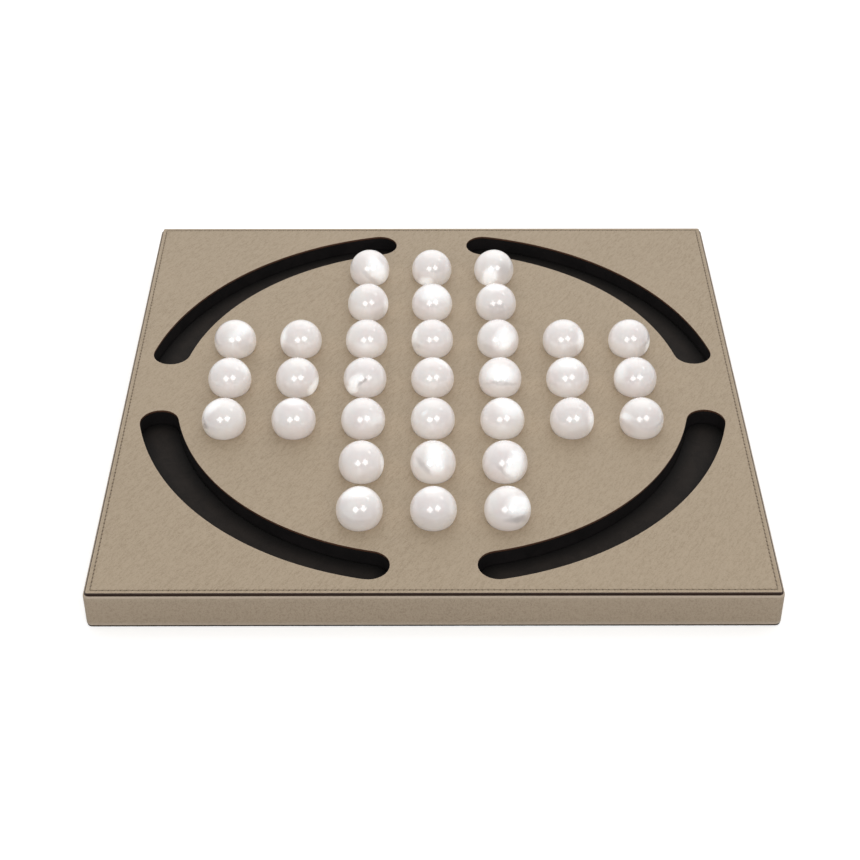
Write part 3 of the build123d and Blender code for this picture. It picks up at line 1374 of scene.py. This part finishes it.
@dataclass
class SideBand:
    """The leather strip round the sides, turned in over the board and under it, with a butt joint behind."""

    outer_corner: float = 3.5 * MM
    thickness: float = 1.5 * MM
    hem_thickness: float = 0.6 * MM
    top_hem: float = 8.0 * MM
    bottom_hem: float = 14.0 * MM
    shoulder: float = 1.3 * MM
    lower_rounding: float = 0.5 * MM
    butt_gap: float = 0.3 * MM
    samples_per_side: int = 150
    unevenness: float = 0.09 * MM

    def profile(self, bottom: float, top: float) -> list[tuple[float, float, float]]:
        """Draws the strip's cross section, clockwise from the upper hem's edge.

        Args:
            bottom: The strip's lowest height.
            top: Its highest.

        Returns:
            The section's points as inset from the strip's face, height, and a share of wear and painted
            highlight.
        """
        section = [(self.thickness + self.top_hem, top, 0.0), (self.thickness + 3 * MM, top, 0.0)]
        # The shoulder and the lower rounding take wear and a painted highlight.
        for angle in quarter_turn(6):
            inset, drop = self.shoulder * (1 - math.sin(angle)), self.shoulder * (1 - math.cos(angle))
            section.append((inset, top - drop, 0.15 + 0.75 * math.sin(2 * angle)))
        for share in (0.12, 0.3, 0.5, 0.7, 0.88):
            height = top - self.shoulder - share * (top - bottom - self.shoulder - self.lower_rounding)
            section.append((0.0, height, 0.0))
        for angle in quarter_turn(4):
            inset = self.lower_rounding * (1 - math.cos(angle))
            section.append((inset, bottom + self.lower_rounding * (1 - math.sin(angle)), 0.9))
        inner = self.thickness
        section += [
            (inner + self.bottom_hem, bottom, 0.0),
            (inner + self.bottom_hem, bottom + self.hem_thickness, 0.0),
            (inner + 0.8 * MM, bottom + self.hem_thickness, 0.0),
            (inner, bottom + self.hem_thickness + 0.8 * MM, 0.0),
            (inner, top - self.hem_thickness - 0.8 * MM, 0.0),
            (inner + 0.8 * MM, top - self.hem_thickness, 0.0),
            (inner + self.top_hem, top - self.hem_thickness, 0.0),
        ]
        return section

    def build(self, leather: bpy.types.Material) -> bpy.types.Object:
        """Builds the strip.

        Args:
            leather: Its material.

        Returns:
            The strip.
        """
        low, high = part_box("side_band")
        bottom, top = low[2], high[2]
        path = SquarePath(high[0] - low[0], self.outer_corner, self.samples_per_side, 12)
        sketch, rows = MeshSketch(), []
        for inset, height, wear_and_highlight_level in self.profile(bottom, top):
            points = path.ring(inset, height)
            seam = points[0][1:]
            points = [(-self.butt_gap / 2, *seam)] + points[1:] + [(self.butt_gap / 2, *seam)]
            row = sketch.ring(points, wear_and_highlight_level)
            if inset < self.thickness and height < top - 0.05 * MM:
                self.ease(row)
            # Paints a shadow line on the ledge just under the panel's edge.
            if inset > 0.6 * self.thickness and height > top - 0.4 * MM:
                for vertex in row:
                    vertex[sketch.painted_shade_and_seam] = 1.0
            rows.append(row)
        for first, second in zip(rows, rows[1:] + rows[:1]):
            sketch.strip(first, second, closed=False)
        for end in (0, -1):
            sketch.mesh.faces.new([row[end] for row in rows])
        # Darkens the butt joint's ends as a dark seam.
        for row in rows:
            for end in (0, -1):
                row[end][sketch.painted_shade_and_seam] = 0.6
        band = sketch.finish("side_band_leather", [leather])
        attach(band, BOARD_BODY)
        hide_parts("side_band")
        return band

    def ease(self, row: list) -> None:
        """Draws the strip in by a hand-wrapped unevenness, never past its CAD face.

        Args:
            row: A row of the strip's vertices.
        """
        for vertex in row:
            place = vertex.co
            inward = Vector((-place.x, -place.y, 0)).normalized()
            long_wave = 1 + wander(tuple(place), 38 * MM, 11.0)
            short_wave = 1 + wander(tuple(place), 9 * MM, 5.0)
            vertex.co += inward * self.unevenness * (0.7 * long_wave + 0.3 * short_wave) / 2


@dataclass
class Underside:
    """The suede sheet that the board stands on, with a slightly frayed edge."""

    corner_radius: float = 3.0 * MM
    samples_per_side: int = 420
    fray: float = 0.25 * MM

    def build(self, suede: bpy.types.Material) -> bpy.types.Object:
        """Builds the sheet.

        Args:
            suede: Its material.

        Returns:
            The sheet.
        """
        low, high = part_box("bottom_sheet")
        bottom, top = low[2], high[2]
        path = SquarePath(high[0] - low[0], self.corner_radius, self.samples_per_side)
        sketch, rows = MeshSketch(), []
        levels = [(0.1, 0.0), (0.0, 0.1), (0.0, 0.4), (0.0, 0.8), (0.0, 1.0)]
        for inset, share in levels:
            height = bottom + (top - bottom) * share
            row = sketch.ring(path.ring(inset * MM, height))
            for vertex in row:
                place = vertex.co.copy()
                inward = Vector((-place.x, -place.y, 0)).normalized()
                fine = 0.6 * wander(tuple(place), 1.1 * MM, 2.0)
                rough = 1 + fine + 0.4 * wander(tuple(place), 4 * MM, 9.0)
                vertex.co += inward * self.fray * rough / 2
            rows.append(row)
        for first, second in zip(rows, rows[1:]):
            sketch.strip(first, second)
        sketch.fill([rows[0]])
        sketch.fill([rows[-1]])
        sheet = sketch.finish("suede_underside", [suede])
        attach(sheet, BOARD_BODY)
        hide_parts("bottom_sheet")
        return sheet


@dataclass
class Marbles:
    """The 33 pearly marbles, each with its own painted gleam."""

    facets: int = 30
    camera_pitch: float = 37.6
    seed: int = 33
    painted_gleams: dict[str, tuple[Oval, Oval]] = field(default_factory=dict)

    def __post_init__(self) -> None:
        """Fills in each marble's painted gleam and its painted grey shade."""
        none = Oval(0.0, 0.0, 0.2, 0.1, strength=0.0)
        self.painted_gleams = {
            "c7": (Oval(0.4, -0.05, 0.66, 0.34, -56), Oval(0.02, -0.45, 0.4, 0.12, -42, 0.3)),
            "d7": (Oval(-0.3, -0.66, 0.3, 0.2, -10, 1.0), Oval(0.4, -0.3, 0.5, 0.4, 0, 0.18, 0.8)),
            "e7": (Oval(-0.25, -0.45, 0.5, 0.34, 70, 1.0, 0.4), Oval(0.5, -0.15, 0.4, 0.32, 80, 0.4, 0.8)),
            "c6": (Oval(0.98, -0.05, 0.5, 0.14, 85, 0.9, 0.9), Oval(0.55, -0.6, 0.4, 0.2, 30, 0.2, 0.8)),
            "d6": (Oval(0.1, 0.4, 0.62, 0.36, 0, 0.8, 0.6), none),
            "e6": (Oval(-0.1, 0.75, 0.5, 0.16, 0, 0.4), Oval(0.1, -0.45, 0.6, 0.35, 0, 0.35, 0.8)),
            "a5": (Oval(0.35, 0.35, 0.5, 0.28, 28, 0.65, 0.7), Oval(0.55, -0.35, 0.4, 0.2, -20, 0.22, 0.7)),
            "b5": (Oval(-0.9, 0.15, 0.5, 0.2, 80, 0.9, 0.8), Oval(-0.55, -0.5, 0.4, 0.16, -20, 0.3, 0.8)),
            "c5": (Oval(0.05, -0.35, 0.4, 0.2, 0, 0.3, 0.9), none),
            "d5": (Oval(-0.92, 0.2, 0.5, 0.16, 80, 0.8, 0.8), Oval(-0.78, -0.3, 0.3, 0.12, -15, 0.25, 0.8)),
            "e5": (Oval(0.24, 0.0, 0.52, 0.42, 62), Oval(-0.5, -0.4, 0.4, 0.2, -40, 0.3, 0.7)),
            "f5": (Oval(0.92, 0.1, 0.6, 0.26, 85, 1.0, 0.8), Oval(0.4, -0.5, 0.4, 0.2, 20, 0.22, 0.8)),
            "g5": (Oval(0.92, -0.3, 0.45, 0.14, 70, 0.9), Oval(0.62, -0.38, 0.3, 0.14, 55, 0.3, 0.7)),
            "a4": (Oval(0.8, 0.4, 0.4, 0.14, -50, 0.5, 0.7), none),
            "b4": (Oval(0.84, -0.42, 0.5, 0.18, 62, 1.0), Oval(-0.1, -0.5, 0.5, 0.25, 0, 0.2, 0.8)),
            "c4": (Oval(-0.48, -0.26, 0.5, 0.24, 58), Oval(-0.08, -0.16, 0.36, 0.08, 42, 0.6, 0.6)),
            "d4": (Oval(0.55, 0.7, 0.5, 0.14, -35, 0.5, 0.7), none),
            "e4": (Oval(0.0, 0.2, 0.64, 0.36, 0), Oval(0.0, -0.24, 0.62, 0.09, 0, 0.4, 0.6)),
            "f4": (Oval(-0.1, 0.6, 0.6, 0.24, 5, 0.45, 0.8), none),
            "g4": (Oval(-0.75, 0.3, 0.5, 0.2, 70, 0.5, 0.8), Oval(0.0, 0.1, 0.5, 0.06, 10, 0.15)),
            "a3": (Oval(-0.5, 0.55, 0.4, 0.2, 40, 0.7, 0.7), Oval(-0.82, -0.3, 0.16, 0.1, -30, 0.7, 0.5)),
            "b3": (Oval(0.0, 0.8, 0.5, 0.14, 0, 0.4, 0.7), none),
            "c3": (Oval(0.5, 0.02, 0.5, 0.2, 0, 0.4, 0.8), none),
            "d3": (Oval(-0.35, 0.3, 0.16, 0.07, 50, 0.5, 0.8), none),
            "e3": (Oval(0.3, 0.5, 0.55, 0.34, -10, 0.75, 0.7), none),
            "f3": (Oval(0.95, 0.1, 0.6, 0.2, 88, 0.95, 0.9), Oval(0.2, -0.6, 0.5, 0.2, 15, 0.22, 0.8)),
            "g3": (Oval(-0.88, 0.16, 0.35, 0.12, -20, 0.8, 0.8), Oval(-0.7, -0.3, 0.4, 0.14, -30, 0.2, 0.8)),
            "c2": (Oval(0.98, 0.05, 0.6, 0.1, 88, 0.9, 0.9), Oval(0.3, -0.5, 0.4, 0.2, 20, 0.12, 0.9)),
            "d2": (Oval(0.12, 0.16, 0.5, 0.4, -70), Oval(-0.4, -0.14, 0.42, 0.12, -52, 0.45, 0.7)),
            "e2": (Oval(0.38, -0.08, 0.6, 0.36, 78), Oval(-0.02, -0.42, 0.42, 0.1, -42, 0.4, 0.6)),
            "c1": (Oval(-0.1, 0.7, 0.6, 0.2, 8, 0.6, 0.8), Oval(0.0, -0.5, 0.6, 0.3, 0, 0.1, 0.9)),
            "d1": (Oval(0.0, 0.85, 0.5, 0.12, 0, 0.3), Oval(0.0, -0.5, 0.7, 0.3, 0, 0.25, 0.9)),
            "e1": (Oval(0.48, 0.2, 0.56, 0.36, 8), Oval(0.36, -0.4, 0.4, 0.13, 2, 0.6, 0.8)),
        }

    def build_one(self, place: str, finish: PearlFinish, groups: Groups) -> bpy.types.Object:
        """Builds one marble about its own centre, its front turned to the player's seat.

        Args:
            place: The well's name.
            finish: The marble's finish.
            groups: The shared node groups.

        Returns:
            The marble.
        """
        sketch = MeshSketch()
        made = bmesh.ops.create_cube(sketch.mesh, size=2.0)
        edges = list({edge for vertex in made["verts"] for edge in vertex.link_edges})
        bmesh.ops.subdivide_edges(sketch.mesh, edges=edges, cuts=self.facets, use_grid_fill=True)
        for vertex in sketch.mesh.verts:
            x, y, z = (math.tan(value * math.pi / 4) for value in vertex.co)
            unit = Vector((x, y, z)).normalized()
            vertex.co = unit * finish.radius * (1 - 0.0012 * (1 + wander(tuple(unit), 0.9, finish.seed)))
        for face in sketch.mesh.faces:
            face.smooth = True
        marble = sketch.finish(f"pearl_{place}", [finish.make(groups)])
        marble.location = centre_of(f"marble_{place}")
        marble.rotation_euler = Euler((math.radians(90 - self.camera_pitch), 0, 0))
        bpy.context.view_layer.update()
        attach(marble, f"marble_{place}")
        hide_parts(f"marble_{place}")
        return marble

    def build(self, groups: Groups) -> None:
        """Builds every marble.

        Args:
            groups: The shared node groups.
        """
        draw = random.Random(self.seed)
        low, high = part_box("marble_d4")
        radius = (high[2] - low[2]) / 2
        for place in wells():
            painted_gleam, shade_oval = self.painted_gleams[place]
            seed = draw.uniform(0, 40)
            warmth = draw.uniform(0.0, 0.8)
            finish = PearlFinish(f"pearl_{place}", seed, painted_gleam, shade_oval, painted_gleam.tilt, warmth, radius)
            self.build_one(place, finish, groups)
        LOG.info("marbles: %d in their wells", len(self.painted_gleams))


@dataclass(frozen=True)
class Softbox:
    """A square studio light that looks at the board."""

    name: str
    towards: Point
    distance: float
    size: float
    power: float
    roll: float = 0.0

    def build(self) -> bpy.types.Object:
        """Hangs the light.

        Returns:
            The light.
        """
        data = bpy.data.lights.new(self.name, "AREA")
        data.shape, data.size, data.energy = "SQUARE", self.size, self.power
        light = bpy.data.objects.new(self.name, data)
        bpy.context.scene.collection.objects.link(light)
        direction = Vector(self.towards).normalized()
        light.location = direction * self.distance
        aim = (-direction).to_track_quat("-Z", "Y")
        spin = Euler((0, 0, math.radians(self.roll))).to_quaternion()
        light.rotation_euler = (aim @ spin).to_euler()
        return light


@dataclass
class Studio:
    """The pale floor, the softboxes and the camera at the player's seat."""

    floor_side: float = 8.0
    floor_colour: Colour = field(default_factory=lambda: tint(233, 233, 232))
    floor_lift: float = 0.49
    camera_place: Point = (-0.0046, -0.8650, 0.6556)
    pitch: float = 37.586
    yaw: float = 0.207
    roll: float = -0.05
    lens: float = 75.5
    horizon_glow: float = 0.24
    ceiling_glow: float = 0.26
    back_glow: float = 0.78

    def build(self) -> None:
        """Builds the floor, lights and camera."""
        self.build_floor()
        self.build_lights()
        self.build_camera()
        LOG.info("studio ready")

    def build_floor(self) -> bpy.types.Object:
        """Lays the floor under the board.

        Returns:
            The floor.
        """
        half = self.floor_side / 2
        sketch = MeshSketch()
        corners = [(-half, -half, 0), (half, -half, 0), (half, half, 0), (-half, half, 0)]
        sketch.mesh.faces.new(sketch.ring(corners))
        material, graph, shader = new_material("pale_floor")
        place = graph.add("ShaderNodeTexCoord").outputs["Object"]
        cloudy = graph.noise(place, 3.0, 2.0)
        near = tuple(channel * 0.985 for channel in self.floor_colour[:3]) + (1.0,)
        pale = graph.mix(graph.spread(cloudy, 0.4, 0.6), self.floor_colour, near)
        graph.join(shader.inputs["Base Color"], pale)
        shader.inputs["Roughness"].default_value = 0.9
        shader.inputs["Specular IOR Level"].default_value = 0.1
        shader.inputs["Emission Color"].default_value = WHITE
        seen = graph.add("ShaderNodeLightPath").outputs["Is Camera Ray"]
        graph.join(shader.inputs["Emission Strength"], graph.maths("MULTIPLY", seen, self.floor_lift))
        floor = sketch.finish("studio_floor", [material])
        return floor

    def build_lights(self) -> None:
        """Hangs the softboxes and sets the room's own light."""
        for softbox in (
            Softbox("key_left", (-0.277, -0.762, 0.585), 3.6, 1.6, 22.0, 63.0),
            Softbox("key_right", (0.359, -0.673, 0.647), 3.6, 1.6, 22.0, 34.0),
            Softbox("behind", (0.05, 0.66, 0.75), 1.6, 1.7, 4.4, 0.0),
            Softbox("back_right", (0.57, 0.24, 0.79), 3.6, 0.7, 2.6, 45.0),
        ):
            softbox.build()
        world = bpy.data.worlds.new("room")
        world.use_nodes = True
        graph = Graph(world.node_tree)
        background = world.node_tree.nodes["Background"]
        background.inputs["Color"].default_value = WHITE
        _, back, height = graph.split(graph.add("ShaderNodeTexCoord").outputs["Generated"])
        ceiling = graph.maths("MULTIPLY", graph.maths("MAXIMUM", height, 0.0), self.ceiling_glow)
        wall = graph.maths("MULTIPLY", graph.maths("MAXIMUM", back, 0.0), self.back_glow)
        glow = graph.maths("ADD", self.horizon_glow, graph.maths("ADD", ceiling, wall))
        seen = graph.add("ShaderNodeLightPath").outputs["Is Camera Ray"]
        graph.join(background.inputs["Strength"], graph.maths("MAXIMUM", glow, seen))
        bpy.context.scene.world = world

    def build_camera(self) -> bpy.types.Object:
        """Sets the camera at the player's seat.

        Returns:
            The camera.
        """
        data = bpy.data.cameras.new("seat_camera")
        data.lens, data.sensor_width = self.lens, 36.0
        camera = bpy.data.objects.new("seat_camera", data)
        bpy.context.scene.collection.objects.link(camera)
        camera.location = self.camera_place
        pan = Matrix.Rotation(math.radians(-self.yaw), 3, "Z")
        tilt = Matrix.Rotation(math.radians(90 - self.pitch), 3, "X")
        lean = Matrix.Rotation(math.radians(-self.roll), 3, "Z")
        camera.rotation_euler = (pan @ tilt @ lean).to_euler()
        bpy.context.scene.camera = camera
        return camera


@dataclass
class Board:
    """The whole board: core, leather, trays and marbles."""

    panel: TopPanel = field(default_factory=TopPanel)
    band: SideBand = field(default_factory=SideBand)
    underside: Underside = field(default_factory=Underside)
    trays: Trays = field(default_factory=Trays)
    marbles: Marbles = field(default_factory=Marbles)

    def dress_core(self, frame: dict, material: bpy.types.Material) -> None:
        """Gives the two hidden core boards their fibreboard.

        Args:
            frame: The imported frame.
            material: The fibreboard.
        """
        for node in ("base_board", "top_board"):
            board = frame["nodes"][node]
            board.data.materials.clear()
            board.data.materials.append(material)

    def build(self, frame: dict, groups: Groups) -> None:
        """Builds every sub-assembly in order.

        Args:
            frame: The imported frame.
            groups: The shared node groups.
        """
        leather = LeatherFinish(
            "taupe_leather", tint(179, 161, 137), tint(142, 124, 101), tint(200, 182, 160)
        )
        band_leather = LeatherFinish(
            "band_leather", tint(174, 157, 136), tint(136, 119, 101), tint(208, 192, 175)
        )
        edge = PaintedEdgeFinish("painted_edge", tint(50, 31, 23), tint(96, 62, 44))
        opening_edge = PaintedEdgeFinish("cut_edge", tint(88, 58, 42), tint(140, 96, 70))
        thread = ThreadFinish("taupe_thread", tint(172, 156, 134), tint(120, 104, 84))
        wall = NapFinish("black_lining", tint(17, 14, 14), tint(27, 23, 23), 2600.0)
        lining = NapFinish("charcoal_lining", tint(30, 25, 22), tint(39, 33, 29), 2400.0)
        suede = NapFinish("dark_suede", tint(30, 25, 20), tint(48, 41, 33), 2200.0, 0.0001)
        fibreboard = FibreboardFinish("fibreboard", tint(158, 124, 86), tint(120, 90, 60), tint(26, 23, 22))
        self.dress_core(frame, fibreboard.make(groups))
        LOG.info("core boards dressed")
        self.panel.build_face(leather.make(groups), edge.make(groups), opening_edge.make(groups))
        LOG.info("playing face built")
        self.panel.build_stitches(thread.make(groups))
        LOG.info("rim stitched")
        self.band.build(band_leather.make(groups))
        LOG.info("side band wrapped")
        self.underside.build(suede.make(groups))
        LOG.info("underside laid")
        self.trays.build(wall.make(groups), lining.make(groups))
        self.marbles.build(groups)


def main() -> None:
    """Loads the frame, dresses the board and sets up the studio."""
    logging.basicConfig(level=logging.INFO, format="%(message)s")
    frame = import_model()
    bpy.context.scene.view_settings.view_transform = "Standard"
    Board().build(frame, Groups())
    Studio().build()


if __name__ == "__main__":
    main()
